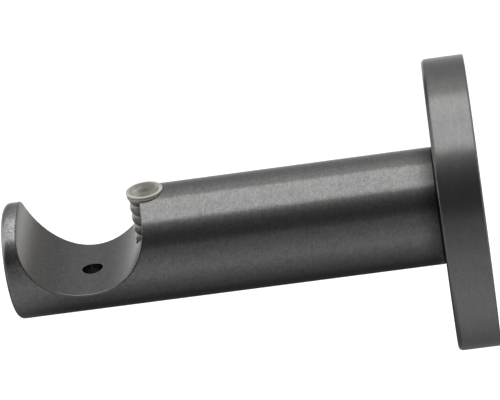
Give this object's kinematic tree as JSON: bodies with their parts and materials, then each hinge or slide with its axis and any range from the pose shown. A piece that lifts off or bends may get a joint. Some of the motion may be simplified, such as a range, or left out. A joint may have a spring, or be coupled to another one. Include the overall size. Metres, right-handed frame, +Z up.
{
  "type": "curtain pole bracket",
  "caption": "Wall bracket for a curtain pole: round metal arm with an open bored saddle and a clear beaded plug, on a thick round wall rose.",
  "frame": {"origin": "middle of the wall rose's back, on the wall", "axes": "+Y into the wall, the arm runs out along -Y, the pole lies along X, +Z up"},
  "size_m": [0.062, 0.101, 0.062],
  "materials": {
    "gunmetal": "satin, fine circumferential brushing",
    "zinc_plated_steel": "bright zinc plate",
    "black_steel": "black oxide",
    "clear_plastic": "milky translucent"
  },
  "bodies": {
    "root": {"arm": "gunmetal", "wall_rose": "gunmetal", "wall_plate": "zinc_plated_steel", "joining_screw": "zinc_plated_steel", "grub_screw": "black_steel", "pole_plug": "clear_plastic"}
  },
  "joints": []
}
